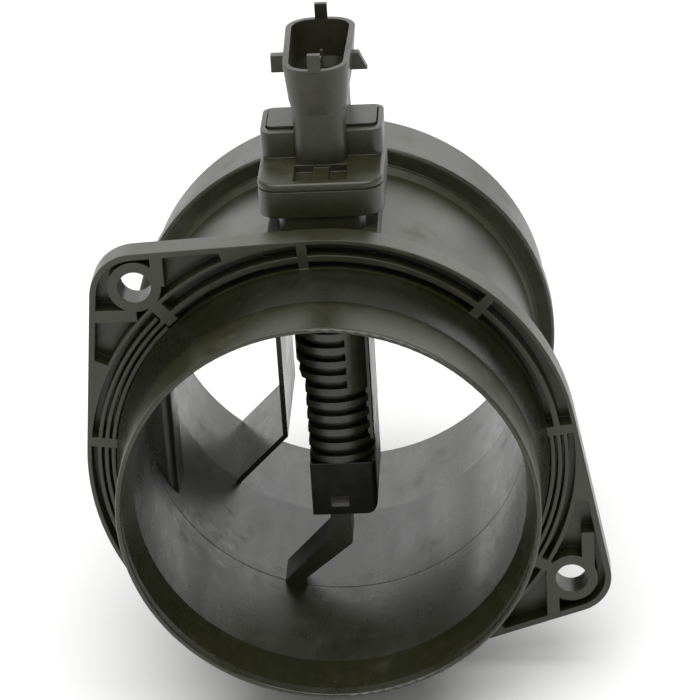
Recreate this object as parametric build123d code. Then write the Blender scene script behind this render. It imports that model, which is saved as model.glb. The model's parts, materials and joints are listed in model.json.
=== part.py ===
from build123d import *
import os
from math import acos, atan2, cos, degrees, hypot, radians, sin, tan

# Mass airflow sensor: a ribbed duct with a plug-in sensor. Millimetres. Y runs along the duct,
# from the front face of the flange to the hose end. X is across, Z points to the connector.

# Duct tube. Each radius follows from the bore, a relief and a wall.
BORE_R = 39.5
LIP_RELIEF = 1.6
LIP_WALL = 1.1
REAR_RELIEF = 0.3
END_RELIEF = 1.7
TUBE_WALL = 2.2
LEDGE_PROUD = 0.9
RING_PROUD = 4.4
BEAD_PROUD = 2.8
END_PROUD = 1.2
COVE_PROUD = 2.3
SPIGOT_LENGTH = 22.7
LIP_DEPTH = 2.4
LEAD_IN_DEPTH = 10.0
COVE_LENGTH = 10.7
STEP_Y = 10.3
DUCT_END_Y = 79.2
LEDGE_LENGTH = 3.0
RING_LENGTH = 4.0
BEAD_LENGTH = 14.9
END_TAPER = 3.3
FLARE_LENGTH = 30.0
LIP_ROUND = 0.5
RING_ROUND = 0.7

# Flange with two ears
FLANGE_W = 8.3
FLANGE_T = 5.6
HOLE_ANGLES = (131.9, -31.0)
HOLE_REACH = (5.3, 5.7)
HOLE_R = 3.3
EAR_SHIFTS = ((0.3, -2.3), (0.0, 0.0))
EAR_RADII = (9.5, 8.2)
BOSS_R = 5.4
POCKET_DEPTH = 3.8
POCKET_BITE = 0.2
RIM_W = 0.9
MAIN_RIB_INSET = 3.9
MAIN_RIB_W = 1.2
THIN_RIB_INSETS = (2.6, 4.0, 5.4)
THIN_RIB_W = 0.8
THIN_RIB_ARCS = ((134, 215), (-33, 7.5))
CROSS_RIB_W = 2.0
CROSS_RIB_ANGLES = (172, 94, 47.5, 7.5, 208, 245, 290)
EAR_RIM_W = 1.3
EAR_POCKET_REACH = 18.6
EAR_STAY_W = 2.6

# Stays across each ear's pocket: the start from the hole's centre in X and Z, and the heading
UPPER_EAR_STAYS = ((4.8, 0.0, 90), (0.0, -6.3, 180))
LOWER_EAR_STAYS = ((3.5, 0.0, 90), (-4.0, 0.0, -90))

# Seat of the plug-in sensor on top of the duct
SEAT_Y = 27.0
SEAT_H = 4.0
SEAT_W = 22.5
SEAT_WALL = 3.0
SEAT_ROUND = 3.0
PLUG_W = 15.5
PLUG_D = 24.9
PLUG_ROUND = 2.6
PLUG_FIT = 0.1

# Seal between plug and seat
SEAL_DEPTH = 2.4
SEAL_H = 1.9
SEAL_T = 1.3
SEAL_FIT = 0.1

# Walls moulded inside the duct
PARTITION_X = -13.95
PARTITION_T = 1.1
PARTITION_Y = 49.4
PARTITION_FOOT_Z = -20.0
PARTITION_SLOPE = 45.0
BUMP_H = 4.5
BUMP_Y = 21.3
BUMP_LENGTH = 13.0
BUMP_ROUND = 2.0
STRUT_INSET = 1.75
STRUT_LENGTH = 9.0
STRUT_POST = (-2.5, 1.8)
STRUT_POST_H = 6.2
STRUT_T = 2.0
STRUT_FOOT = (-13.2, -37.6)
STRUT_FOOT_W = 4.8
STRUT_HEEL = 0.8

# Sensor head outside the duct
COLLAR_W = 17.4
COLLAR_D = 26.6
COLLAR_H = 3.3
HEAD_W = 25.4
HEAD_D = 27.5
HEAD_H = 7.3
HEAD_ROUND = 2.4
HEAD_FRONT_ROUND = 4.5
HEAD_EDGE_ROUND = 0.7
HEAD_SEAM = 0.35
HEAD_SEAM_DROP = 1.4
SHOULDER_W = 25.0
SHOULDER_H = 5.5
TOP_PLATE_H = 1.4
TOP_RIM_W = 1.3
TOP_LEDGE_W = 2.4
TOP_PLATE_PROUD = 0.5
PARTING_LINE = 0.25
FOOT_POCKET_DEPTH = 1.6
FOOT_POCKET_WALL = 1.6
FOOT_RIB_W = 3.2
FOOT_RIB_DROP = 0.65

# Connector. Its collar overhangs the neck at both ends.
CONNECTOR_X = -0.1
NECK_W = 10.7
NECK_FRONT = 4.2
NECK_LENGTH = 27.7
NECK_ROUND = 3.6
NECK_H = 5.2
NECK_REAR_H = 5.8
SHROUD_W = 14.7
SHROUD_FRONT_W = 13.2
SHROUD_OVERHANG = (1.0, 1.8)
SHROUD_ROUND = 5.6
SHROUD_WALL = 1.2
SHROUD_DRAFT = 0.75
SHROUD_TAPER_H = 2.1
SHROUD_H = 7.9
SOCKET_DEPTH = 12.9
KEY_W = 2.6
KEY_H = 3.3
LATCH_REACH = 2.5
LATCH_H = 3.6
LATCH_LENGTH = 2.0
LATCH_DROP = 2.0

# Contacts
PIN_COUNT = 5
PIN_PITCH = 4.0
PIN_T = 0.6
PIN_W = 1.0
PIN_DEPTH = 4.3
PIN_STEP = 0.9
PIN_FOOT_PITCH = 3.0
PIN_FOOT_INSET = 3.6
PIN_BOARD_GAP = 1.5
PIN_END_DROP = 8.5

# Fin in the air stream
FIN_BOTTOM_Z = -20.3
NOSE_REACH = 6.5
SLIM_Z = (9.4, 14.4)
SLIM_STEP = 1.75
NOSE_RIB_PITCH = 3.17
NOSE_RIB_T = 1.5
NOSE_RIB_DEPTH = 1.5
NOSE_RIB_BOTTOM_Z = -6.4
NOSE_RIDGE_X = 2.9
NOSE_PLAIN_Z = 9.0
TOE_TOP_Z = -8.0
TOE_ROUND = 1.2
INLET = (-2.0, 1.8)
INLET_Z = (-18.6, -16.0)
FIN_TIP_ROUND = 2.4
COVER_T = 1.3
COVER_FIT = 0.1
FIN_WALL = 2.2

# Circuit chamber on the +X side, measuring channel on the -X side
WEB_X = -2.4
WEB_T = 1.6
CHAMBER_INSETS = (5.85, 2.85)
CHAMBER_BOTTOM_Z = -2.0
CHAMBER_ROOF = 6.6
CHANNEL_INSETS = (6.85, 3.25)
CHANNEL_Z = (-18.6, 8.0)
ISLAND_INSET = 3.6
ISLAND_ROUND = 2.0
OUTLET_Z = (-9.5, -3.5)
OUTLET_W = 2.4
PLATE_T = 1.2
PLATE_ROUND = 1.0
THERMISTOR_R = 0.9
LEAD_W = 0.35
THERMISTOR_Z = -6.0
LEAD_TOP_Z = 5.0
BOARD_T = 0.7
BOARD_BOTTOM_Z = 3.0
BOARD_MARGIN = 0.6
CHIP_CARRIER_W = 6.0
CHIP_CARRIER_MARGIN = 0.8
SENSING_CHIP_W = 3.2
SENSING_CHIP_T = 0.4
SENSING_CHIP_MARGIN = 1.0
SIGNAL_CHIP_W = 6.0
SIGNAL_CHIP_T = 0.9
SIGNAL_CHIP_Z = 14.0
CAPACITOR_COUNT = 3
CAPACITOR_PITCH = 3.4
CAPACITOR_W = 1.25
CAPACITOR_H = 2.0
CAPACITOR_Z = 6.0
GEL_T = 3.4
GEL_MARGIN = 1.5
BOND_LOOP = 1.2
BOND_T = 0.2
BOND_W = 0.5
BOND_INSET = 0.8

# A cutter runs this far past what it cuts, and a wall this far into what carries it
EXTRA = 1.0
ROOT = 0.5

# Worked out from the sizes above
LIP_BORE_R = BORE_R + LIP_RELIEF
SPIGOT_R = LIP_BORE_R + LIP_WALL
REAR_BORE_R = BORE_R + REAR_RELIEF
END_BORE_R = REAR_BORE_R + END_RELIEF
TUBE_R = REAR_BORE_R + TUBE_WALL
LEDGE_R = TUBE_R + LEDGE_PROUD
RING_R = TUBE_R + RING_PROUD
BEAD_R = TUBE_R + BEAD_PROUD
END_R = TUBE_R + END_PROUD
COVE_R = TUBE_R + COVE_PROUD
FLANGE_R = TUBE_R + FLANGE_W
BEAD_END_Y = DUCT_END_Y - END_TAPER
BEAD_Y = BEAD_END_Y - BEAD_LENGTH
RING_Y = BEAD_Y - RING_LENGTH
LEDGE_Y = RING_Y - LEDGE_LENGTH
SEAT_TOP_Z = TUBE_R + SEAT_H
SEAL_Z = SEAT_TOP_Z - SEAL_DEPTH
HEAD_Z = SEAT_TOP_Z + COLLAR_H
HEAD_Y = SEAT_Y - HEAD_D / 2
HEAD_END_Y = SEAT_Y + HEAD_D / 2
SHOULDER_Z = HEAD_Z + HEAD_H
SHOULDER_TOP_Z = SHOULDER_Z + SHOULDER_H
PLATE_Z = SHOULDER_TOP_Z - TOP_PLATE_H
NECK_Y = SEAT_Y - NECK_FRONT
NECK_END_Y = NECK_Y + NECK_LENGTH
NECK_TOP_Z = SHOULDER_TOP_Z + NECK_H
SHROUD_Y = NECK_Y - SHROUD_OVERHANG[0]
SHROUD_END_Y = NECK_END_Y + SHROUD_OVERHANG[1]
SHROUD_Z = NECK_TOP_Z + SHROUD_TAPER_H
RIM_Z = SHROUD_Z + SHROUD_H
SOCKET_FLOOR_Z = RIM_Z - SOCKET_DEPTH
PIN_TOP_Z = RIM_Z - PIN_DEPTH
FIN_Y = SEAT_Y - PLUG_D / 2
FIN_END_Y = SEAT_Y + PLUG_D / 2
FIN_X = PLUG_W / 2
SLIM_X = SLIM_STEP - FIN_X
COVER_X = FIN_X - COVER_T
CHAMBER_X = WEB_X + WEB_T
CHAMBER_Y = (FIN_Y + CHAMBER_INSETS[0], FIN_END_Y - CHAMBER_INSETS[1])
CHAMBER_Z = (CHAMBER_BOTTOM_Z, SEAL_Z - CHAMBER_ROOF)
CHANNEL_X = SLIM_X + COVER_T
CHANNEL_Y = (FIN_Y + CHANNEL_INSETS[0], FIN_END_Y - CHANNEL_INSETS[1])
CHANNEL_MIDDLE_Y = (CHANNEL_Y[0] + CHANNEL_Y[1]) / 2
PIN_FOOT_Y = CHAMBER_Y[0] + PIN_FOOT_INSET
PIN_END_Z = CHAMBER_Z[1] - PIN_END_DROP
BOARD_X = CHAMBER_X + PLATE_T
BOARD_FACE_X = BOARD_X + BOARD_T
BOARD_Z = (BOARD_BOTTOM_Z, PIN_END_Z - PIN_BOARD_GAP)


def spot(radius, angle):
    """Point at a radius and an angle, in degrees."""
    return radius * cos(radians(angle)), radius * sin(radians(angle))


def span(low, high):
    """Box between two opposite corners."""
    size = [b - a for a, b in zip(low, high)]
    middle = [(a + b) / 2 for a, b in zip(low, high)]
    return Pos(*middle) * Box(*size)


def along_y(outline, start, end):
    """Outline drawn in X and Z, carried from start to end along Y."""
    return extrude(Plane.XZ.offset(-end) * outline, end - start, dir=(0, -1, 0))


def upright(outline, bottom, top):
    """Outline drawn in X and Y, carried from bottom to top."""
    return extrude(Pos(0, 0, bottom) * outline, top - bottom, dir=(0, 0, 1))


def rounded(width, y_start, y_end, corner):
    """Rounded rectangle in X and Y, centred on X = 0."""
    return Pos(0, (y_start + y_end) / 2) * RectangleRounded(width, y_end - y_start, corner)


def plug_outline(growth=0.0):
    """Plan of the plug, grown or shrunk all round."""
    corner = PLUG_ROUND + growth
    return rounded(PLUG_W + 2 * growth, FIN_Y - growth, FIN_END_Y + growth, corner)


def duct_tube():
    """Turned shape of spigot, tube, stop ring and hose bead."""
    profile = make_face(Polyline(
        (LIP_BORE_R, -SPIGOT_LENGTH),
        (SPIGOT_R, -SPIGOT_LENGTH),
        (SPIGOT_R, -COVE_LENGTH),
        (COVE_R, 0),
        (COVE_R, FLANGE_T / 2),
        (TUBE_R, FLANGE_T / 2),
        (TUBE_R, LEDGE_Y),
        (LEDGE_R, RING_Y - LEDGE_PROUD),
        (LEDGE_R, RING_Y),
        (RING_R, RING_Y),
        (RING_R, BEAD_Y),
        (BEAD_R, BEAD_Y + RING_R - BEAD_R),
        (BEAD_R, BEAD_END_Y),
        (END_R, DUCT_END_Y),
        (END_BORE_R, DUCT_END_Y),
        (REAR_BORE_R, DUCT_END_Y - FLARE_LENGTH),
        (REAR_BORE_R, STEP_Y),
        (BORE_R, STEP_Y),
        (BORE_R, LEAD_IN_DEPTH - SPIGOT_LENGTH),
        (LIP_BORE_R, LIP_DEPTH - SPIGOT_LENGTH),
        close=True,
    ))
    profile = fillet(profile.vertices().group_by(Axis.Y)[0], LIP_ROUND)
    profile = fillet(profile.vertices().group_by(Axis.X)[-1], RING_ROUND)
    return revolve(profile, Axis.Y)


def hole_spots():
    """Centres of the two screw holes in the flange."""
    return [spot(FLANGE_R + reach, angle) for reach, angle in zip(HOLE_REACH, HOLE_ANGLES)]


def ear_centres():
    """Centres of the rounded ends of the two ears."""
    return [(hole[0] + shift[0], hole[1] + shift[1]) for hole, shift in zip(hole_spots(), EAR_SHIFTS)]


def ear_web(centre, ring_r, ear_r):
    """Web between the round flange and one ear, along their common tangents."""
    heading = atan2(centre[1], centre[0])
    spread = acos((ring_r - ear_r) / hypot(*centre))
    low = (cos(heading - spread), sin(heading - spread))
    high = (cos(heading + spread), sin(heading + spread))
    return Polygon(
        (ring_r * low[0], ring_r * low[1]),
        (centre[0] + ear_r * low[0], centre[1] + ear_r * low[1]),
        (centre[0] + ear_r * high[0], centre[1] + ear_r * high[1]),
        (ring_r * high[0], ring_r * high[1]),
        align=None,
    )


def flange_outline(inset=0.0):
    """Round flange with its two ears, drawn smaller all round by inset."""
    outline = Circle(FLANGE_R - inset)
    for centre, radius in zip(ear_centres(), EAR_RADII):
        outline += ear_web(centre, FLANGE_R - inset, radius - inset)
        outline += Pos(*centre) * Circle(radius - inset)
    return outline


def band(radius, width):
    """Flat ring of a middle radius and a width."""
    return Circle(radius + width / 2) - Circle(radius - width / 2)


def sector(start, end):
    """Wedge from the duct's axis, wide enough for the flange."""
    reach = 2 * FLANGE_R
    middle = (start + end) / 2
    return Polygon((0, 0), spot(reach, start), spot(2 * reach, middle), spot(reach, end), align=None)


def ring_pockets():
    """Grooves between the ring ribs: three thin ribs on some arcs, one wider rib elsewhere."""
    ring = Circle(FLANGE_R - RIM_W) - Circle(COVE_R - POCKET_BITE)
    area = ring - band(FLANGE_R - MAIN_RIB_INSET, MAIN_RIB_W)
    for arc in THIN_RIB_ARCS:
        part = ring & sector(*arc)
        area -= part
        for inset in THIN_RIB_INSETS:
            part -= band(FLANGE_R - inset, THIN_RIB_W)
        area += part
    return area


def flange_pockets():
    """Front pockets of the ring and the ears, without the cross ribs, bosses and their stays."""
    area = ring_pockets()
    ears = flange_outline(EAR_RIM_W) - Circle(FLANGE_R)
    for hole in hole_spots():
        area += ears & (Pos(*hole) * Circle(EAR_POCKET_REACH))
    for angle in CROSS_RIB_ANGLES:
        area -= Rot(0, 0, angle) * Pos(COVE_R) * Rectangle(FLANGE_W * 2, CROSS_RIB_W)
    for hole, stays in zip(hole_spots(), (UPPER_EAR_STAYS, LOWER_EAR_STAYS)):
        area -= Pos(*hole) * Circle(BOSS_R)
        inward = degrees(atan2(-hole[1], -hole[0]))
        for across, along, heading in (*stays, (0, 0, inward)):
            start = Pos(hole[0] + across, hole[1] + along) * Rot(0, 0, heading)
            area -= start * Pos(BOSS_R) * Rectangle(2 * BOSS_R, EAR_STAY_W)
    return area


def flange():
    """Flange with its ears and front pockets."""
    plate = along_y(flange_outline() - Circle(TUBE_R - ROOT), 0, FLANGE_T)
    return plate - along_y(flange_pockets(), 0, POCKET_DEPTH)


def partition():
    """Upright wall with a sloping foot, at the hose end of the duct."""
    half = PARTITION_T / 2
    turn = 90 - PARTITION_SLOPE
    bend = half * tan(radians(turn / 2))
    drop = TUBE_R / 2
    run = drop * tan(radians(turn))
    thickness = PARTITION_T / sin(radians(turn))
    outline = Polygon(
        (PARTITION_X - half, TUBE_R),
        (PARTITION_X - half, PARTITION_FOOT_Z + bend),
        (PARTITION_X - half - run, PARTITION_FOOT_Z + bend - drop),
        (PARTITION_X - half - run, PARTITION_FOOT_Z + bend - drop - thickness),
        (PARTITION_X + half, PARTITION_FOOT_Z - bend),
        (PARTITION_X + half, TUBE_R),
        align=None,
    )
    return along_y(outline & Circle(TUBE_R - ROOT), PARTITION_Y, DUCT_END_Y)


def bump():
    """Flat-faced bump on the bore wall."""
    block = span((-TUBE_R, BUMP_Y, -BORE_R), (BUMP_H - BORE_R, BUMP_Y + BUMP_LENGTH, BORE_R))
    block = fillet(block.edges().filter_by(Axis.Z).group_by(Axis.X)[-1], BUMP_ROUND)
    return block & along_y(Circle(TUBE_R - ROOT), BUMP_Y, BUMP_Y + BUMP_LENGTH)


def strut():
    """Sloping stay that carries the tip of the fin."""
    left, right = STRUT_POST
    foot_x, foot_z = STRUT_FOOT
    knee_z = FIN_BOTTOM_Z - STRUT_POST_H
    outline = Polygon(
        (left, FIN_BOTTOM_Z),
        (left, knee_z),
        (foot_x, foot_z),
        (foot_x, -TUBE_R),
        (foot_x + STRUT_FOOT_W, -TUBE_R),
        (foot_x + STRUT_FOOT_W, foot_z + STRUT_HEEL),
        (right, knee_z - STRUT_T),
        (right, FIN_BOTTOM_Z),
        align=None,
    )
    start = FIN_Y + STRUT_INSET
    return along_y(outline & Circle(TUBE_R - ROOT), start, start + STRUT_LENGTH)


def seat():
    """Block on top of the duct, from the flange to behind the plug."""
    end = FIN_END_Y + SEAT_WALL
    block = upright(rounded(SEAT_W, -SEAT_W, end, SEAT_ROUND), BORE_R / 2, SEAT_TOP_Z)
    return block & span((-SEAT_W, FLANGE_T / 2, 0), (SEAT_W, end, SEAT_TOP_Z))


def duct_housing():
    """Duct in one moulding, with the hole for the plug."""
    outside = seat() - along_y(Circle(TUBE_R - ROOT), 0, FIN_END_Y + 2 * SEAT_WALL)
    body = duct_tube() + flange() + outside + partition() + bump() + strut()
    for hole in hole_spots():
        body -= along_y(Pos(*hole) * Circle(HOLE_R), -EXTRA, FLANGE_T + EXTRA)
    return body - upright(plug_outline(PLUG_FIT), BORE_R / 2, SEAT_TOP_Z + EXTRA)


def seal_ring():
    """Rubber ring in the plug's groove, touching the wall of the seat."""
    loop = plug_outline(PLUG_FIT) - plug_outline(PLUG_FIT - SEAL_T)
    ring = upright(loop, SEAL_Z - SEAL_H / 2, SEAL_Z + SEAL_H / 2)
    return fillet(ring.edges().filter_by(Plane.XY), SEAL_H / 4)


def nose_outline(inset):
    """Plan of the fin's rounded front, cut back by inset."""
    start = FIN_Y + NOSE_REACH
    oval = Pos(0, start) * Ellipse(FIN_X - inset, NOSE_REACH - inset)
    strip = Pos(0, start + EXTRA / 2) * Rectangle(2 * (FIN_X - inset), EXTRA)
    half = Pos(0, start - NOSE_REACH / 2) * Rectangle(2 * FIN_X, NOSE_REACH)
    return (oval & half) + strip


def nose():
    """Ribbed nose of the fin, with a square toe below it."""
    shape = upright(nose_outline(0), FIN_BOTTOM_Z, BORE_R)
    back = FIN_Y + NOSE_REACH + EXTRA
    toe = span((-FIN_X, FIN_Y, FIN_BOTTOM_Z), (FIN_X, back, TOE_TOP_Z))
    shape += fillet(toe.edges().filter_by(Axis.Z).group_by(Axis.Y)[0], TOE_ROUND)
    count = int((BORE_R - NOSE_RIB_BOTTOM_Z) / NOSE_RIB_PITCH) - 1
    for index in range(count):
        bottom = NOSE_RIB_BOTTOM_Z + index * NOSE_RIB_PITCH
        top = bottom + NOSE_RIB_PITCH - NOSE_RIB_T
        groove = span((-FIN_X - EXTRA, FIN_Y - EXTRA, bottom), (FIN_X + EXTRA, back, top))
        groove -= upright(nose_outline(NOSE_RIB_DEPTH), bottom, top)
        if bottom > NOSE_PLAIN_Z:
            groove -= span((NOSE_RIDGE_X, FIN_Y - EXTRA, bottom), (FIN_X + EXTRA, back, top))
        shape -= groove
    return shape


def slim_side():
    """What is missing on the left of the fin below its wide root."""
    outline = Polygon(
        (-FIN_X - EXTRA, FIN_BOTTOM_Z - EXTRA),
        (SLIM_X, FIN_BOTTOM_Z - EXTRA),
        (SLIM_X, SLIM_Z[0]),
        (-FIN_X, SLIM_Z[1]),
        (-FIN_X - EXTRA, SLIM_Z[1]),
        align=None,
    )
    return along_y(outline, FIN_Y - EXTRA, FIN_END_Y + EXTRA)


def chamber():
    """Open space for the circuit, on the +X side of the fin."""
    return span((CHAMBER_X, CHAMBER_Y[0], CHAMBER_Z[0]), (COVER_X, CHAMBER_Y[1], CHAMBER_Z[1]))


def channel():
    """Measuring channel: in at the nose, round an island, out through the cover."""
    low = (CHANNEL_X, CHANNEL_Y[0], CHANNEL_Z[0])
    high = (WEB_X, CHANNEL_Y[1], CHANNEL_Z[1])
    island_low = (low[0], low[1] + ISLAND_INSET, low[2] + ISLAND_INSET)
    island_high = (high[0], high[1] - ISLAND_INSET, high[2] - 2 * ISLAND_INSET)
    island = span(island_low, island_high)
    island = fillet(island.edges().filter_by(Axis.X), ISLAND_ROUND)
    divider_low = (low[0], low[1], INLET_Z[1])
    divider = span(divider_low, (high[0], island_low[1] + ISLAND_ROUND, island_low[2] + EXTRA))
    inlet = span((INLET[0], FIN_Y - EXTRA, INLET_Z[0]), (INLET[1], island_low[1], INLET_Z[1]))
    crossing = span((low[0], low[1], INLET_Z[0]), (INLET[1], island_low[1], INLET_Z[1]))
    return span(low, high) - island - divider + inlet + crossing


def circuit_cover_plate(fit):
    """Cover of the circuit chamber, or its recess when fit is added."""
    edge = FIN_WALL + fit
    low = (COVER_X, CHAMBER_Y[0] - edge, CHAMBER_Z[0] - edge)
    high = (FIN_X, CHAMBER_Y[1] + edge, CHAMBER_Z[1] + edge / 2)
    return span(low, high)


def channel_cover_plate(fit):
    """Cover of the measuring channel, or its recess when fit is added."""
    edge = FIN_WALL / 2 + fit
    low = (SLIM_X, CHANNEL_Y[0] - edge, CHANNEL_Z[0] - edge)
    high = (CHANNEL_X, CHANNEL_Y[1] + edge, CHANNEL_Z[1] + edge)
    return span(low, high)


def outlet():
    """Window where the measured air leaves through the channel cover."""
    start = CHANNEL_Y[0] + (ISLAND_INSET - OUTLET_W) / 2
    low = (SLIM_X - EXTRA, start, OUTLET_Z[0])
    return span(low, (CHANNEL_X + EXTRA, start + OUTLET_W, OUTLET_Z[1]))


def chip_place(fit):
    """Carrier of the sensing chip, or its window in the web when fit is added."""
    half = CHIP_CARRIER_W / 2 + fit
    bottom = CHANNEL_Z[1] - 2 * ISLAND_INSET + CHIP_CARRIER_MARGIN - fit
    top = CHANNEL_Z[1] - CHIP_CARRIER_MARGIN + fit
    low = (WEB_X, CHANNEL_MIDDLE_Y - half, bottom)
    return span(low, (CHAMBER_X, CHANNEL_MIDDLE_Y + half, top))


def pin_path(index):
    """Three straight runs of one contact, from its blade down to its bonding end."""
    top_y = (NECK_Y + NECK_END_Y) / 2 + (index - (PIN_COUNT - 1) / 2) * PIN_PITCH
    foot_y = PIN_FOOT_Y + index * PIN_FOOT_PITCH
    jog_z = SOCKET_FLOOR_Z - PIN_W - index * PIN_STEP
    half_x = PIN_T / 2
    half_y = PIN_W / 2
    blade = span((-half_x, top_y - half_y, jog_z), (half_x, top_y + half_y, PIN_TOP_Z))
    jog_low = (-half_x, min(foot_y, top_y) - half_y, jog_z)
    jog = span(jog_low, (half_x, max(foot_y, top_y) + half_y, jog_z + PIN_T))
    leg = span((-half_x, foot_y - half_y, PIN_END_Z), (half_x, foot_y + half_y, jog_z + PIN_T))
    return blade, jog, leg


def terminal(index):
    """Bent contact strip with a chamfered blade tip."""
    blade, jog, leg = pin_path(index)
    pin = blade + jog + leg
    tip = pin.edges().filter_by(Axis.Y).group_by(Axis.Z)[-1]
    return chamfer(tip, PIN_T / 4)


def contacts():
    """All contacts together, to make room for them in the mouldings."""
    room = terminal(0)
    for index in range(1, PIN_COUNT):
        room += terminal(index)
    return room


def thermistor():
    """Glass bead with two leads that bend through the web to the circuit."""
    x = (WEB_X + CHANNEL_X) / 2
    y = CHANNEL_Y[1] - ISLAND_INSET / 2
    half = LEAD_W / 2
    shape = Pos(x, y, THERMISTOR_Z) * Sphere(THERMISTOR_R)
    for middle in (y - LEAD_W, y + LEAD_W):
        front, rear = middle - half, middle + half
        rise = span((x - half, front, THERMISTOR_Z), (x + half, rear, LEAD_TOP_Z + half))
        run = span((x - half, front, LEAD_TOP_Z - half), (BOARD_X, rear, LEAD_TOP_Z + half))
        shape += rise + run
    return shape


def fin_and_plug():
    """Plug and fin with their nose, before the spaces are cut."""
    front = span((-FIN_X, FIN_Y, FIN_BOTTOM_Z), (FIN_X, FIN_Y + NOSE_REACH, BORE_R))
    body = upright(plug_outline(), FIN_BOTTOM_Z, SEAT_TOP_Z) - front + (nose() & front)
    tip = span((-FIN_X, FIN_Y, FIN_BOTTOM_Z), (FIN_X, FIN_END_Y, SEAT_TOP_Z))
    low_right = tip.edges().filter_by(Axis.Y).group_by(Axis.Z)[0].sort_by(Axis.X)[-1]
    return (body & fillet(low_right, FIN_TIP_ROUND)) - slim_side()


def top_plate_outline(fit):
    """Plan of the closing plate on the head's rear half, grown by fit."""
    width = SHOULDER_W - 2 * (TOP_RIM_W - fit)
    front = SEAT_Y + TOP_LEDGE_W - fit
    return rounded(width, front, HEAD_END_Y - TOP_RIM_W + fit, HEAD_ROUND / 2)


def foot_pocket():
    """Two small pockets in the head block in front of the neck, with a rib between."""
    side = NECK_W / 2
    low = (-side, HEAD_Y + FOOT_POCKET_WALL, SHOULDER_Z - FOOT_POCKET_DEPTH)
    pocket = span(low, (side, NECK_Y, SHOULDER_Z + EXTRA))
    rib_low = (-FOOT_RIB_W / 2, HEAD_Y, HEAD_Z)
    return pocket - span(rib_low, (FOOT_RIB_W / 2, NECK_Y, SHOULDER_Z - FOOT_RIB_DROP))


def sensor_head():
    """Collar, head block and the shoulders beside the neck."""
    collar_plan = rounded(COLLAR_W, SEAT_Y - COLLAR_D / 2, SEAT_Y + COLLAR_D / 2, PLUG_ROUND)
    collar = upright(collar_plan, SEAT_TOP_Z, HEAD_Z)
    block_plan = rounded(HEAD_W, HEAD_Y, HEAD_END_Y, HEAD_FRONT_ROUND)
    block_plan += rounded(HEAD_W, SEAT_Y, HEAD_END_Y, HEAD_ROUND)
    block = upright(block_plan, HEAD_Z, SHOULDER_Z)
    block = fillet(block.faces().sort_by(Axis.Z)[-1].edges(), HEAD_EDGE_ROUND)
    seam_z = SHOULDER_Z - HEAD_SEAM_DROP
    block -= upright(block_plan - offset(block_plan, -HEAD_SEAM), seam_z - HEAD_SEAM, seam_z)
    shoulder_plan = rounded(SHOULDER_W, SEAT_Y, HEAD_END_Y, HEAD_ROUND)
    shoulders = upright(shoulder_plan, SHOULDER_Z - EXTRA, SHOULDER_TOP_Z)
    shoulders -= upright(top_plate_outline(PARTING_LINE), PLATE_Z, SHOULDER_TOP_Z + EXTRA)
    return collar + block + shoulders - foot_pocket()


def neck_outline():
    """Plan of the connector's neck."""
    return Pos(CONNECTOR_X) * rounded(NECK_W, NECK_Y, NECK_END_Y, NECK_ROUND)


def neck():
    """Neck of the connector: down to the head block, cut back under its rear overhang."""
    body = upright(neck_outline(), SHOULDER_Z, NECK_TOP_Z)
    overhang = Polygon(
        (HEAD_END_Y, SHOULDER_Z),
        (NECK_END_Y + EXTRA, NECK_TOP_Z - NECK_REAR_H),
        (NECK_END_Y + EXTRA, SHOULDER_Z - EXTRA),
        (HEAD_END_Y, SHOULDER_Z - EXTRA),
        align=None,
    )
    return body - extrude(Plane.YZ * overhang, SHROUD_W, both=True)


def sensor_housing():
    """Fin, plug and head in one moulding, with the spaces inside."""
    body = fin_and_plug() + sensor_head() - neck()
    groove = plug_outline(EXTRA) - plug_outline(PLUG_FIT - SEAL_T - SEAL_FIT)
    half = SEAL_H / 2 + SEAL_FIT
    body -= upright(groove, SEAL_Z - half, SEAL_Z + half)
    body = body - chamber() - channel() - contacts() - thermistor()
    return body - circuit_cover_plate(COVER_FIT) - channel_cover_plate(COVER_FIT) - chip_place(COVER_FIT)


def shroud_outline():
    """Plan of the connector's rim, a little narrower at its front end."""
    front, rear = SHROUD_FRONT_W / 2, SHROUD_W / 2
    corners = ((-front, SHROUD_Y), (front, SHROUD_Y), (rear, SHROUD_END_Y), (-rear, SHROUD_END_Y))
    outline = Polygon(*corners, align=None)
    return Pos(CONNECTOR_X) * fillet(outline.vertices(), SHROUD_ROUND)


def flared(inset):
    """Body from the neck up to the rim, drawn smaller all round by inset."""
    levels = (
        (NECK_TOP_Z, neck_outline(), inset),
        (SHROUD_Z, shroud_outline(), inset + SHROUD_DRAFT),
        (RIM_Z, shroud_outline(), inset),
    )
    plans = [Pos(0, 0, z) * (offset(plan, -less) if less else plan) for z, plan, less in levels]
    return loft(plans, ruled=True)


def shroud():
    """Collar of the connector, widening out of the neck, and the socket inside it."""
    well = upright(offset(neck_outline(), -SHROUD_WALL), SOCKET_FLOOR_Z, NECK_TOP_Z)
    return flared(0), flared(SHROUD_WALL) + well


def keys():
    """Upstanding keys at both ends of the collar."""
    left, right = CONNECTOR_X - KEY_W / 2, CONNECTOR_X + KEY_W / 2
    root, top = RIM_Z - ROOT, RIM_Z + KEY_H
    front = span((left, SHROUD_Y, root), (right, SHROUD_Y + SHROUD_WALL, top))
    rear = span((left, SHROUD_END_Y - SHROUD_WALL, root), (right, SHROUD_END_Y, top))
    return front + rear


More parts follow.
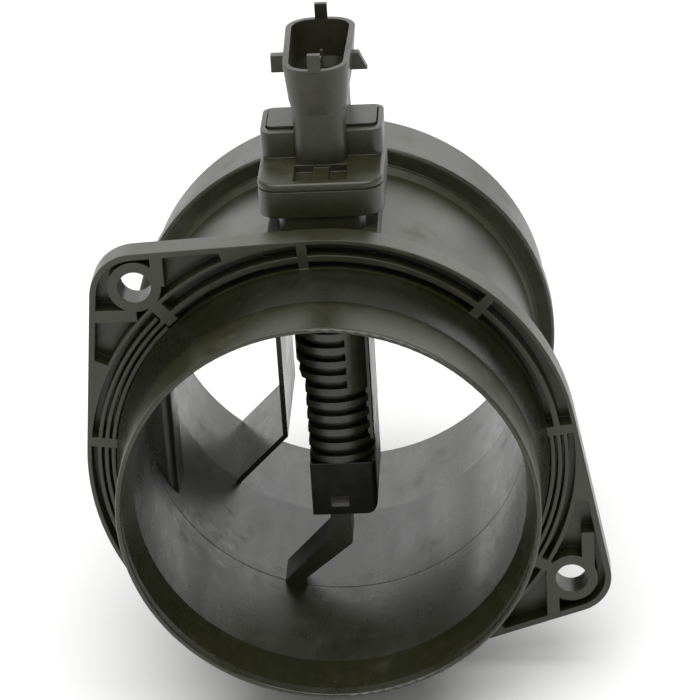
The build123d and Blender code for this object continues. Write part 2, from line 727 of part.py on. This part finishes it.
def latches():
    """A square lug on the left of the collar and a sloping one on the right."""
    middle = (SHROUD_Y + SHROUD_END_Y) / 2
    start, end = middle - LATCH_LENGTH / 2, middle + LATCH_LENGTH / 2
    top = RIM_Z - LATCH_DROP
    root = SHROUD_DRAFT + ROOT
    side = CONNECTOR_X - SHROUD_W / 2
    square = span((side - LATCH_REACH, start, top - LATCH_H), (side + root, end, top))
    side = CONNECTOR_X + SHROUD_W / 2
    wedge = Polygon(
        (side - root, top),
        (side + LATCH_REACH / 3, top),
        (side + LATCH_REACH, top - LATCH_H),
        (side - root, top - LATCH_H),
        align=None,
    )
    return square + along_y(wedge, start, end)


def connector_housing():
    """Connector with the plate that closes the head around its neck."""
    plate = upright(top_plate_outline(0), PLATE_Z, SHOULDER_TOP_Z + TOP_PLATE_PROUD)
    collar, socket = shroud()
    body = plate + neck() + collar + keys() + latches() - socket
    return body - contacts()


def electronics_cover():
    """Flat cover of the circuit chamber with a chamfered outer edge."""
    return chamfer(circuit_cover_plate(0).faces().sort_by(Axis.X)[-1].edges(), PARTING_LINE)


def carrier_plate():
    """Sheet metal plate that the circuit board lies on."""
    low = (CHAMBER_X, CHAMBER_Y[0] + BOARD_MARGIN, CHAMBER_Z[0] + BOARD_MARGIN)
    high = (BOARD_X, CHAMBER_Y[1] - ISLAND_INSET, BOARD_Z[1] + BOARD_MARGIN)
    return fillet(span(low, high).edges().filter_by(Axis.X), PLATE_ROUND)


def circuit_board():
    """Ceramic board on the carrier plate."""
    low = (BOARD_X, CHAMBER_Y[0] + 2 * BOARD_MARGIN, BOARD_Z[0])
    return span(low, (BOARD_FACE_X, CHAMBER_Y[1] - BOARD_MARGIN, BOARD_Z[1]))


def on_board(middle, length, height, thickness):
    """Block on the board's face, at a middle in Y and Z."""
    low = (BOARD_FACE_X, middle[0] - length / 2, middle[1] - height / 2)
    high = (BOARD_FACE_X + thickness, middle[0] + length / 2, middle[1] + height / 2)
    return span(low, high)


def signal_chip():
    """Packaged chip on the board."""
    return on_board((SEAT_Y, SIGNAL_CHIP_Z), SIGNAL_CHIP_W, SIGNAL_CHIP_W, SIGNAL_CHIP_T)


def capacitor(index):
    """One capacitor of the row near the board's lower edge."""
    middle_y = SEAT_Y + (index - (CAPACITOR_COUNT - 1) / 2) * CAPACITOR_PITCH
    return on_board((middle_y, CAPACITOR_Z), CAPACITOR_W, CAPACITOR_H, SIGNAL_CHIP_T)


def sensing_chip():
    """Silicon chip on the carrier's face, in the air of the channel."""
    seat_box = chip_place(0).bounding_box()
    half = SENSING_CHIP_W / 2
    low = (WEB_X - SENSING_CHIP_T, CHANNEL_MIDDLE_Y - half, seat_box.min.Z + SENSING_CHIP_MARGIN)
    return span(low, (WEB_X, CHANNEL_MIDDLE_Y + half, seat_box.max.Z - SENSING_CHIP_MARGIN))


def bond_wires():
    """Aluminium ribbons from the contacts' ends to the board."""
    start = PIN_T / 2
    landing = BOARD_FACE_X
    peak = landing + BOND_LOOP
    high = PIN_END_Z + BOND_INSET
    low = BOARD_Z[1] - BOND_INSET
    ribbon = trace(Polyline((start, high), (peak, high), (peak, low), (landing, low)), BOND_T)
    wires = []
    for index in range(PIN_COUNT):
        middle = PIN_FOOT_Y + index * PIN_FOOT_PITCH
        wires.append(along_y(ribbon, middle - BOND_W / 2, middle + BOND_W / 2))
    return Compound(children=wires)


def protective_gel():
    """Gel over the board, its chips and the bond wires."""
    low = (CHAMBER_X, CHAMBER_Y[0], BOARD_Z[0] - GEL_MARGIN)
    gel = span(low, (CHAMBER_X + GEL_T, CHAMBER_Y[1], CHAMBER_Z[1]))
    gel = gel - carrier_plate() - circuit_board() - signal_chip() - contacts()
    for index in range(CAPACITOR_COUNT):
        gel -= capacitor(index)
    for wire in bond_wires().solids():
        gel -= wire
    return gel - chip_place(COVER_FIT) - thermistor()


def pieces():
    """Every piece by name."""
    named = {
        "duct_housing": duct_housing(),
        "sensor_housing": sensor_housing(),
        "connector_housing": connector_housing(),
        "electronics_cover": electronics_cover(),
        "bypass_cover": channel_cover_plate(0) - outlet(),
        "seal_ring": seal_ring(),
        "carrier_plate": carrier_plate(),
        "circuit_board": circuit_board(),
        "signal_chip": signal_chip(),
        "chip_carrier": chip_place(0),
        "sensing_chip": sensing_chip(),
        "air_temperature_sensor": thermistor(),
        "bond_wires": bond_wires(),
        "protective_gel": protective_gel(),
    }
    for index in range(PIN_COUNT):
        named[f"terminal_{index + 1}"] = terminal(index)
    for index in range(CAPACITOR_COUNT):
        named[f"capacitor_{index + 1}"] = capacitor(index)
    return named


os.makedirs("parts", exist_ok=True)
for name, shape in pieces().items():
    export_step(shape, f"parts/{name}.step")
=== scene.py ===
import json
from math import cos, radians, sin

import bmesh
import bpy
from mathutils import Matrix, Vector


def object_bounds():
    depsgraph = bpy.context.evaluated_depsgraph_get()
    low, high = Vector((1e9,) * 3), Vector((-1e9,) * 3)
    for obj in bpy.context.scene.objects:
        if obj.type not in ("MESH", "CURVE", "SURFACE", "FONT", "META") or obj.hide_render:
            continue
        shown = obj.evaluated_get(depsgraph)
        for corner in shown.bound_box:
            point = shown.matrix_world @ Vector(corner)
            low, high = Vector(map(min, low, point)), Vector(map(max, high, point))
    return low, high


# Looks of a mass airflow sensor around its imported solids. Metres, in the part's own frame:
# Y runs along the duct from the flange to the hose end, Z points to the connector.

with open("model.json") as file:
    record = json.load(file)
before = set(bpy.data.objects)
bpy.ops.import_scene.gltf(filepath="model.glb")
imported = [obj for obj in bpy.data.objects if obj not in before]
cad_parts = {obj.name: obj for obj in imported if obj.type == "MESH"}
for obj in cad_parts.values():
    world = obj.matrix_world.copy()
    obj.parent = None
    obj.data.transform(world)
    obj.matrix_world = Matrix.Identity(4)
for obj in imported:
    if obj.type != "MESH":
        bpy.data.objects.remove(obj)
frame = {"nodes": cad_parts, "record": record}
cad_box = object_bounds()
nodes = frame["nodes"]

MM = 0.001

# Camera: a long lens above the front of the flange
CAMERA_AZIMUTH = radians(3.92)
CAMERA_ELEVATION = radians(26.87)
CAMERA_ROLL = radians(-3.66)
CAMERA_DISTANCE = 0.575
CAMERA_AIM = Vector((6.54, -22.7, 37.45)) * MM
FOCAL_PIXELS = 3000
PICTURE_PIXELS = 700
SENSOR_W = 36.0

# Stage. Each softbox has its place, width, height and watts, and faces the origin.
FLOOR_DROP = 0.2 * MM
FLOOR_SIZE = 8.0
FLOOR_SHADES = ((0.88, 0.88, 0.87), (0.93, 0.93, 0.925))
WORLD_COLOUR = (1.0, 1.0, 1.0)
WORLD_LIGHT = 0.48
SOFTBOXES = {
    "back_softbox": ((0.0, 1.85, 0.70), 4.4, 1.1, 19.0),
    "top_softbox": ((0.0, -0.45, 1.85), 2.6, 1.7, 47.0),
}

# Input sockets of a Mix node's two ends, and its output socket
COLOUR_MIX = (6, 7, 2)
VECTOR_MIX = (4, 5, 1)

# A bevelled normal this far from the flat one marks a sharp edge: from none to full wear
EDGE_WEAR_FROM = 0.999
EDGE_WEAR_FULL = 0.8
BEVEL_SAMPLES = 4

# Tool marks round the duct: noise cells per metre along it and through its wall
TOOL_MARKS_ALONG = 1400.0
TOOL_MARKS_THROUGH = 500.0

# Grain and dirt that run along the duct: coordinate factors
FIBRE_PULL = (1.0, 0.35, 1.0)
STREAK_PULL = (1.0, 0.22, 1.0)

# Inside of the duct: the radius at which its marks start, and where they are full
BORE_EDGE_R = 41.6 * MM
BORE_FULL_R = 41.3 * MM

# Dried residue on the left of the bore, and the witness groove of the mould core, laid with a painted shade
# line
RESIDUE_SPOT = Vector((-30.0, 17.0, -25.0)) * MM
RESIDUE_REACH = 17.0 * MM
MOULD_GROOVE_SHADE_Y = 16.8 * MM
MOULD_GROOVE_SHADE_HALF = (0.30 * MM, 0.12 * MM)

# Painted shade in the cove before the flange, which is also made glossier: its front and its rear end, each
# from none to full
COVE_SHADE_FRONT_Y = (-13.0 * MM, -10.0 * MM)
COVE_SHADE_REAR_Y = (-0.1 * MM, -0.5 * MM)

# Painted shade on the toe of the sensor's nose, and painted light in its inlet, each from none to full
TOE_SHADE_TOP_Z = (-7.9 * MM, -8.3 * MM)
TOE_SHADE_REAR_Y = (20.55 * MM, 16.55 * MM)
INLET_FRONT_Y = (14.65 * MM, 14.85 * MM)
INLET_HALF_W = (2.6 * MM, 2.4 * MM)
INLET_SPOT = Vector((-0.1, 16.55, -18.2)) * MM
INLET_REACH = 7.0 * MM

# Colours of the marks
DUST_COLOUR = (0.15, 0.145, 0.13)
RESIDUE_COLOUR = (0.060, 0.058, 0.050)
# Painted shade: near-black line round the bore over the witness groove
MOULD_LINE_SHADE_COLOUR = (0.002, 0.002, 0.001)
# Painted shade of the cove before the flange
COVE_SHADE_COLOUR = (0.0030, 0.0040, 0.0012)
# Painted light in the sensor's inlet
INLET_LIGHT_COLOUR = (0.50, 0.485, 0.45)
# Painted shade on the toe of the sensor's nose
TOE_SHADE_COLOUR = (0.004, 0.004, 0.003)

# Circuit board: its printed face, and the pitches of its tracks and pads
PRINTED_FACE_X = (1.08 * MM, 1.1 * MM)
TRACK_PITCH = 1.3 * MM
PAD_PITCH_Z = 3.1 * MM
PAD_PITCH_Y = 2.3 * MM
HEATER_PITCH = 0.32 * MM
STRIPE_EDGE = 0.03


class Number:
    """A shader value. Arithmetic on it adds Math nodes."""

    def __init__(self, finish, socket):
        self.finish = finish
        self.socket = socket

    def math(self, operation, *values, clamp=False):
        ends = dict(enumerate(values))
        node = self.finish.node("ShaderNodeMath", ends, operation=operation, use_clamp=clamp)
        return Number(self.finish, node.outputs[0])

    def __add__(self, other):
        return self.math("ADD", self, other)

    def __radd__(self, other):
        return self.math("ADD", other, self)

    def __sub__(self, other):
        return self.math("SUBTRACT", self, other)

    def __rsub__(self, other):
        return self.math("SUBTRACT", other, self)

    def __mul__(self, other):
        return self.math("MULTIPLY", self, other)

    def __rmul__(self, other):
        return self.math("MULTIPLY", other, self)

    def __truediv__(self, other):
        return self.math("DIVIDE", self, other)

    def __pow__(self, other):
        return self.math("POWER", self, other)

    def __abs__(self):
        return self.math("ABSOLUTE", self)

    def fraction(self):
        return self.math("FRACT", self)

    def clamped(self):
        return self.math("ADD", self, 0.0, clamp=True)


class Finish:
    """One material under construction."""

    def __init__(self, name, **shader):
        self.material = bpy.data.materials.new(name)
        self.material.use_nodes = True
        self.tree = self.material.node_tree
        self.shader = self.tree.nodes["Principled BSDF"]
        self.place = self.node("ShaderNodeTexCoord").outputs["Object"]
        for socket, value in shader.items():
            self.shader.inputs[socket.replace("_", " ")].default_value = value

    def node(self, kind, ends=None, **settings):
        """Adds a node: its settings first, then the value or link of each socket."""
        node = self.tree.nodes.new(kind)
        for name, value in settings.items():
            setattr(node, name, value)
        for name, value in (ends or {}).items():
            self.feed(node.inputs[name], value)
        return node

    def feed(self, socket, value):
        """Links a socket to a value of the shader, or sets it."""
        if isinstance(value, Number):
            value = value.socket
        if isinstance(value, bpy.types.NodeSocket):
            self.tree.links.new(value, socket)
        else:
            socket.default_value = value

    def number(self, kind, output, ends=None, **settings):
        return Number(self, self.node(kind, ends, **settings).outputs[output])

    def noise(self, cells, detail, rough, place=None):
        """Noise field of so many cells per metre."""
        ends = {"Vector": place or self.place, "Scale": cells, "Detail": detail, "Roughness": rough}
        return self.number("ShaderNodeTexNoise", "Fac", ends)

    def stretched(self, factors):
        """Object coordinates scaled apart along each axis."""
        ends = {"Vector": self.place, "Scale": factors}
        return self.node("ShaderNodeMapping", ends).outputs["Vector"]

    def step(self, value, low, high, out_low=0.0, out_high=1.0):
        """Ramp from one value to another, held flat beyond both."""
        ends = {"Value": value, "From Min": low, "From Max": high, "To Min": out_low, "To Max": out_high}
        return self.number("ShaderNodeMapRange", "Result", ends)

    def mix(self, kind, sockets, factor, first, second):
        """Goes from the first end to the second as the factor rises."""
        first_end, second_end, result = sockets
        ends = {0: factor, first_end: first, second_end: second}
        return self.node("ShaderNodeMix", ends, data_type=kind).outputs[result]

    def blend(self, factor, first, second):
        """Colour between two colours."""
        return self.mix("RGBA", COLOUR_MIX, factor, first, second)

    def flat_normal(self):
        return self.node("ShaderNodeNewGeometry").outputs["Normal"]

    def worn_edges(self, radius):
        """Rounded normal, and a mask that is high on sharp edges."""
        rounded = self.node("ShaderNodeBevel", {"Radius": radius}, samples=BEVEL_SAMPLES).outputs["Normal"]
        ends = {0: rounded, 1: self.flat_normal()}
        product = self.number("ShaderNodeVectorMath", "Value", ends, operation="DOT_PRODUCT")
        return rounded, self.step(product, EDGE_WEAR_FROM, EDGE_WEAR_FULL)

    def axes(self):
        """The three object coordinates as numbers."""
        place = self.node("ShaderNodeSeparateXYZ", {"Vector": self.place}).outputs
        return [Number(self, socket) for socket in place]

    def near(self, spot, reach):
        """One at a spot, falling to zero at its reach."""
        gap = self.number("ShaderNodeVectorMath", "Value", {0: self.place, 1: spot}, operation="DISTANCE")
        return self.step(gap, reach, 0.4 * reach)

    def turned(self, factor, rounded):
        """Rounded normal that gives way to the flat one as the factor rises."""
        return self.mix("VECTOR", VECTOR_MIX, factor, rounded, self.flat_normal())

    def stripes(self, along, pitch, share):
        """One on regular bands that fill a share of each pitch."""
        return self.step((along / pitch).fraction(), share + STRIPE_EDGE, share)

    def bump(self, height, distance, normal=None):
        ends = {"Height": height, "Distance": distance, "Strength": 1.0}
        if normal is not None:
            ends["Normal"] = normal
        return self.node("ShaderNodeBump", ends).outputs["Normal"]

    def film(self, cover, normal, **shader):
        """A second surface laid over the first one where its cover is high."""
        ends = {name.replace("_", " "): value for name, value in shader.items()}
        top = self.node("ShaderNodeBsdfPrincipled", {**ends, "Normal": normal})
        mixed = self.node("ShaderNodeMixShader", {0: cover, 1: self.shader.outputs[0], 2: top.outputs[0]})
        self.tree.links.new(mixed.outputs[0], self.tree.nodes["Material Output"].inputs["Surface"])

    def finish(self, **inputs):
        for name, value in inputs.items():
            self.feed(self.shader.inputs[name.replace("_", " ")], value)
        return self.material


def rgba(colour, gain=1.0, lift=0.0):
    """Colour with its alpha, brightened or lifted, and at most one."""
    return (*[min(1.0, gain * part + lift) for part in colour], 1.0)


def moulded_plastic(name, dark, light, roughness, grain, edge_radius, ior, marks=0.0, toe_shade_and_inlet_light=False):
    """Black filled polymer: satin and mottled, with worn edges and what settles on it; painted shade in the
    cove, along the bore's line and on the sensor's toe, and painted light in its inlet.
    """
    skin = Finish(name, IOR=ior)
    x, y, z = skin.axes()
    radius = (x * x + z * z) ** 0.5
    bore = skin.step(radius, BORE_EDGE_R, BORE_FULL_R)

    # Fields of noise, from coarse to fine
    cloud = skin.noise(45.0, 4.0, 0.6)
    blotch = skin.noise(150.0, 4.0, 0.65)
    fibre = skin.noise(420.0, 3.0, 0.7, skin.stretched(FIBRE_PULL))
    fine = skin.noise(2600.0, 2.0, 0.6)
    speck = skin.noise(5200.0, 1.0, 0.5)
    ring = {"X": y * TOOL_MARKS_ALONG, "Y": radius * TOOL_MARKS_THROUGH, "Z": 0.0}
    tool_marks = skin.noise(1.0, 2.0, 0.6, skin.node("ShaderNodeCombineXYZ", ring).outputs[0])

    # Masks
    rounded, edges = skin.worn_edges(edge_radius)
    wear = (edges * (0.35 + 0.65 * fibre) * (1.0 - 0.8 * bore)).clamped()
    stain = skin.step(blotch, 0.52, 0.70) * skin.step(cloud, 0.40, 0.62)
    streak = skin.step(skin.noise(70.0, 4.0, 0.7, skin.stretched(STREAK_PULL)), 0.42, 0.66) * bore
    dust = skin.step(skin.noise(900.0, 1.0, 0.5), 0.72, 0.80)
    residue = skin.near(RESIDUE_SPOT, RESIDUE_REACH) * bore * skin.step(skin.noise(330.0, 4.0, 0.7), 0.40, 0.58)
    mould_groove_shade = skin.step(abs(y - MOULD_GROOVE_SHADE_Y), *MOULD_GROOVE_SHADE_HALF) * bore
    cove_shade_gloss = skin.step(y, *COVE_SHADE_FRONT_Y) * skin.step(y, *COVE_SHADE_REAR_Y) * (1.0 - bore)

    tone = (0.40 * cloud + 0.30 * fibre + 0.15 * fine + 0.15 * speck).clamped()
    colour = skin.blend(skin.step(tone, 0.36, 0.64), rgba(dark), rgba(light))
    colour = skin.blend(stain * 0.45, colour, rgba(light, 1.9, 0.004))
    colour = skin.blend(streak * 0.50, colour, rgba(dark, 0.45))
    colour = skin.blend(wear * 0.30, colour, rgba(light, 2.0, 0.008))
    colour = skin.blend(dust * 0.22, colour, rgba(DUST_COLOUR))
    colour = skin.blend(residue * 0.55, colour, rgba(RESIDUE_COLOUR))
    # Painted shade: a near-black line round the bore, over the witness groove that the bump cuts
    colour = skin.blend(mould_groove_shade * 0.8, colour, rgba(MOULD_LINE_SHADE_COLOUR))
    # Painted shade: the cove before the flange darkened to near-black olive; its roughness is also lowered
    colour = skin.blend(cove_shade_gloss * 0.75, colour, rgba(COVE_SHADE_COLOUR))

    gloss = roughness + 0.16 * (cloud - 0.5) + 0.10 * (fibre - 0.5) + 0.14 * stain - 0.06 * cove_shade_gloss
    gloss = gloss - 0.05 * wear - 0.08 * bore + 0.10 * streak + 0.14 * residue + 0.25 * mould_groove_shade
    height = 0.50 * fine + 0.25 * fibre + 0.15 * speck + marks * tool_marks - 0.8 * mould_groove_shade
    normal = skin.bump(height, grain, skin.turned(bore, rounded))

    if toe_shade_and_inlet_light:
        inlet_painted_light = skin.step(y, *INLET_FRONT_Y) * skin.step(abs(x), *INLET_HALF_W)
        inlet_painted_light = inlet_painted_light * skin.near(INLET_SPOT, INLET_REACH)
        # Painted light: the sensor's inlet lightened to pale grey
        colour = skin.blend(inlet_painted_light * 0.95, colour, rgba(INLET_LIGHT_COLOUR))
        # Painted shade: a near-black, matt, low-specular film over the toe of the nose
        toe_shade = skin.step(z, *TOE_SHADE_TOP_Z) * skin.step(y, *TOE_SHADE_REAR_Y) * (1.0 - inlet_painted_light)
        toe_shade = toe_shade * skin.step(0.6 * cloud + 0.4 * blotch, 0.25, 0.50, 0.62, 0.88)
        skin.film(toe_shade, normal, Base_Color=rgba(TOE_SHADE_COLOUR), Roughness=0.75, Specular_IOR_Level=0.08)
    return skin.finish(Base_Color=colour, Roughness=gloss, Normal=normal)


def rubber(name):
    """Matt elastomer with a bloom and fine pores."""
    skin = Finish(name, IOR=1.5)
    bloom = skin.noise(260.0, 4.0, 0.6)
    pores = skin.step(skin.noise(3200.0, 2.0, 0.6), 0.62, 0.50)
    rounded, edges = skin.worn_edges(0.15 * MM)
    colour = skin.blend(skin.step(bloom, 0.35, 0.70), rgba((0.012, 0.012, 0.012)), rgba((0.030, 0.030, 0.031)))
    colour = skin.blend(edges * 0.3, colour, rgba((0.05, 0.05, 0.05)))
    gloss = 0.62 + 0.22 * bloom - 0.10 * edges
    normal = skin.bump(0.7 * pores + 0.3 * bloom, 0.02 * MM, rounded)
    return skin.finish(Base_Color=colour, Roughness=gloss, Normal=normal)


def metal(name, dark, light, roughness, pull, edge_radius):
    """Drawn or rolled metal: grain along one way, tarnish, bright worn edges."""
    skin = Finish(name, Metallic=1.0)
    grain = skin.noise(900.0, 4.0, 0.7, skin.stretched(pull))
    tarnish = skin.noise(210.0, 4.0, 0.65)
    pits = skin.step(skin.noise(2400.0, 1.0, 0.5), 0.70, 0.80)
    rounded, edges = skin.worn_edges(edge_radius)
    colour = skin.blend(0.55 * tarnish + 0.45 * grain, rgba(dark), rgba(light))
    colour = skin.blend(edges * 0.5, colour, rgba(light, 1.15))
    colour = skin.blend(pits * 0.5, colour, rgba(dark, 0.45))
    gloss = roughness + 0.22 * (grain - 0.5) + 0.16 * (tarnish - 0.5) + 0.2 * pits
    normal = skin.bump(0.8 * grain - 0.5 * pits, 0.008 * MM, rounded)
    return skin.finish(Base_Color=colour, Roughness=gloss, Normal=normal)


def ceramic_board(name):
    """Off-white fired ceramic with printed silver tracks and dark resistor pads."""
    skin = Finish(name, IOR=1.6)
    x, y, z = skin.axes()
    cloud = skin.noise(300.0, 3.0, 0.6)
    grit = skin.noise(4200.0, 2.0, 0.6)
    face = skin.step(x, *PRINTED_FACE_X)
    tracks = skin.stripes(z, TRACK_PITCH, 0.30) * skin.step(skin.noise(330.0, 1.0, 0.5), 0.44, 0.46) * face
    pads = skin.stripes(z, PAD_PITCH_Z, 0.34) * skin.stripes(y, PAD_PITCH_Y, 0.42)
    pads = pads * skin.step(skin.noise(190.0, 1.0, 0.5), 0.54, 0.56) * face
    rounded, edges = skin.worn_edges(0.05 * MM)
    colour = skin.blend(0.6 * cloud + 0.4 * grit, rgba((0.62, 0.60, 0.53)), rgba((0.78, 0.77, 0.71)))
    colour = skin.blend(tracks, colour, rgba((0.50, 0.49, 0.46)))
    colour = skin.blend(pads, colour, rgba((0.03, 0.03, 0.035)))
    colour = skin.blend(edges * 0.3, colour, rgba((0.45, 0.43, 0.38)))
    gloss = 0.55 + 0.2 * (cloud - 0.5) - 0.2 * tracks - 0.15 * pads
    normal = skin.bump(0.4 * grit + tracks + pads, 0.015 * MM, rounded)
    return skin.finish(Base_Color=colour, Roughness=gloss, Normal=normal)


def small_body(name, dark, light, roughness):
    """Moulded or fired body of a small circuit part."""
    skin = Finish(name, IOR=1.55)
    cloud = skin.noise(700.0, 3.0, 0.6)
    grit = skin.noise(6000.0, 2.0, 0.6)
    rounded, edges = skin.worn_edges(0.08 * MM)
    colour = skin.blend(0.6 * cloud + 0.4 * grit, rgba(dark), rgba(light))
    colour = skin.blend(edges * 0.4, colour, rgba(light, 1.7, 0.01))
    gloss = roughness + 0.25 * (cloud - 0.5) + 0.1 * (grit - 0.5)
    normal = skin.bump(grit, 0.006 * MM, rounded)
    return skin.finish(Base_Color=colour, Roughness=gloss, Normal=normal)


def silicon_chip(name):
    """Polished silicon with a faint haze and fine heater lines."""
    skin = Finish(name, Metallic=0.85)
    height_z = skin.axes()[2]
    haze = skin.noise(900.0, 3.0, 0.6)
    lines = skin.stripes(height_z, HEATER_PITCH, 0.35) * skin.step(skin.noise(420.0, 1.0, 0.5), 0.46, 0.48)
    rounded, edges = skin.worn_edges(0.04 * MM)
    colour = skin.blend(haze, rgba((0.10, 0.11, 0.16)), rgba((0.22, 0.22, 0.28)))
    colour = skin.blend(lines * 0.7, colour, rgba((0.55, 0.52, 0.45)))
    gloss = 0.12 + 0.15 * haze + 0.2 * edges
    normal = skin.bump(0.3 * haze + lines, 0.003 * MM, rounded)
    return skin.finish(Base_Color=colour, Roughness=gloss, Normal=normal)


def clear_body(name, dark, light, roughness, ior):
    """Clear glass or gel with faint clouds and bubbles."""
    skin = Finish(name, IOR=ior, Transmission_Weight=0.85)
    cloud = skin.noise(420.0, 4.0, 0.6)
    bubbles = skin.step(skin.noise(1500.0, 1.0, 0.5), 0.70, 0.76)
    colour = skin.blend(cloud, rgba(dark), rgba(light))
    colour = skin.blend(bubbles * 0.5, colour, rgba((0.9, 0.9, 0.88)))
    gloss = roughness + 0.12 * cloud + 0.1 * bubbles
    normal = skin.bump(0.6 * cloud + bubbles, 0.02 * MM)
    return skin.finish(Base_Color=colour, Roughness=gloss, Normal=normal)


def dress(name, material):
    """Gives a CAD node its finish."""
    mesh = nodes[name].data
    mesh.materials.clear()
    mesh.materials.append(material)


def camera_turn():
    """The camera's axes: right, up and back."""
    back = Vector((
        sin(CAMERA_AZIMUTH) * cos(CAMERA_ELEVATION),
        -cos(CAMERA_AZIMUTH) * cos(CAMERA_ELEVATION),
        sin(CAMERA_ELEVATION),
    ))
    level = Vector((cos(CAMERA_AZIMUTH), sin(CAMERA_AZIMUTH), 0.0))
    upright = back.cross(level)
    right = cos(CAMERA_ROLL) * level + sin(CAMERA_ROLL) * upright
    up = cos(CAMERA_ROLL) * upright - sin(CAMERA_ROLL) * level
    return right, up, back


def add_camera():
    right, up, back = camera_turn()
    lens = bpy.data.cameras.new("camera")
    lens.sensor_width = SENSOR_W
    lens.lens = SENSOR_W * FOCAL_PIXELS / PICTURE_PIXELS
    camera = bpy.data.objects.new("camera", lens)
    turn = Matrix((right, up, back)).transposed().to_4x4()
    camera.matrix_world = Matrix.Translation(CAMERA_AIM + CAMERA_DISTANCE * back) @ turn
    bpy.context.scene.collection.objects.link(camera)
    bpy.context.scene.camera = camera


def add_light(name, place, width, height, watts):
    lamp = bpy.data.lights.new(name, "AREA")
    lamp.shape = "RECTANGLE"
    lamp.size = width
    lamp.size_y = height
    lamp.energy = watts
    light = bpy.data.objects.new(name, lamp)
    light.location = place
    light.rotation_euler = (-Vector(place)).to_track_quat("-Z", "Y").to_euler()
    bpy.context.scene.collection.objects.link(light)


def add_floor():
    mesh = bpy.data.meshes.new("floor")
    build = bmesh.new()
    bmesh.ops.create_grid(build, x_segments=1, y_segments=1, size=FLOOR_SIZE / 2)
    drop = Vector((0, 0, cad_box[0][2] - FLOOR_DROP))
    bmesh.ops.translate(build, vec=drop, verts=build.verts)
    build.to_mesh(mesh)
    build.free()
    floor = bpy.data.objects.new("floor", mesh)
    bpy.context.scene.collection.objects.link(floor)
    paper = Finish("floor_paper", Roughness=0.9)
    shade = paper.blend(paper.noise(3.0, 3.0, 0.5), *[rgba(colour) for colour in FLOOR_SHADES])
    mesh.materials.append(paper.finish(Base_Color=shade))


def add_world():
    world = bpy.data.worlds.new("studio")
    world.use_nodes = True
    background = world.node_tree.nodes["Background"]
    background.inputs["Color"].default_value = rgba(WORLD_COLOUR)
    background.inputs["Strength"].default_value = WORLD_LIGHT
    bpy.context.scene.world = world


finishes = {
    "duct_plastic": moulded_plastic(
        "duct_plastic", dark=(0.0130, 0.0140, 0.0048), light=(0.0260, 0.0275, 0.0120),
        roughness=0.33, grain=0.028 * MM, edge_radius=0.35 * MM, ior=1.53, marks=0.30),
    "sensor_plastic": moulded_plastic(
        "sensor_plastic", dark=(0.0135, 0.0145, 0.0046), light=(0.0270, 0.0285, 0.0120),
        roughness=0.38, grain=0.024 * MM, edge_radius=0.30 * MM, ior=1.58, toe_shade_and_inlet_light=True),
    "connector_plastic": moulded_plastic(
        "connector_plastic", dark=(0.0140, 0.0144, 0.0065), light=(0.0270, 0.0275, 0.0150),
        roughness=0.40, grain=0.022 * MM, edge_radius=0.25 * MM, ior=1.56),
    "cover_plastic": moulded_plastic(
        "cover_plastic", dark=(0.0090, 0.0095, 0.0040), light=(0.0190, 0.0195, 0.0100),
        roughness=0.34, grain=0.016 * MM, edge_radius=0.20 * MM, ior=1.50),
    "seal_rubber": rubber("seal_rubber"),
    "contact_metal": metal(
        "contact_metal", dark=(0.52, 0.50, 0.46), light=(0.76, 0.74, 0.69),
        roughness=0.26, pull=(1.0, 1.0, 0.04), edge_radius=0.06 * MM),
    "carrier_metal": metal(
        "carrier_metal", dark=(0.48, 0.49, 0.50), light=(0.70, 0.71, 0.72),
        roughness=0.34, pull=(1.0, 0.05, 1.0), edge_radius=0.08 * MM),
    "board_ceramic": ceramic_board("board_ceramic"),
    "chip_black": small_body(
        "chip_black", dark=(0.012, 0.012, 0.014), light=(0.030, 0.030, 0.033), roughness=0.45),
    "capacitor_body": small_body(
        "capacitor_body", dark=(0.22, 0.13, 0.07), light=(0.38, 0.25, 0.15), roughness=0.40),
    "silicon": silicon_chip("silicon"),
    "bead_glass": clear_body(
        "bead_glass", dark=(0.40, 0.18, 0.13), light=(0.62, 0.34, 0.26), roughness=0.06, ior=1.5),
    "soft_gel": clear_body(
        "soft_gel", dark=(0.72, 0.78, 0.79), light=(0.88, 0.91, 0.92), roughness=0.12, ior=1.41),
}
for part in frame["record"]["subparts"]:
    dress(part["node"], finishes[part["material_slot"]])

add_camera()
add_floor()
add_world()
for softbox, (place, width, height, watts) in SOFTBOXES.items():
    add_light(softbox, place, width, height, watts)
bpy.context.scene.view_settings.view_transform = "Standard"

bpy.context.view_layer.update()
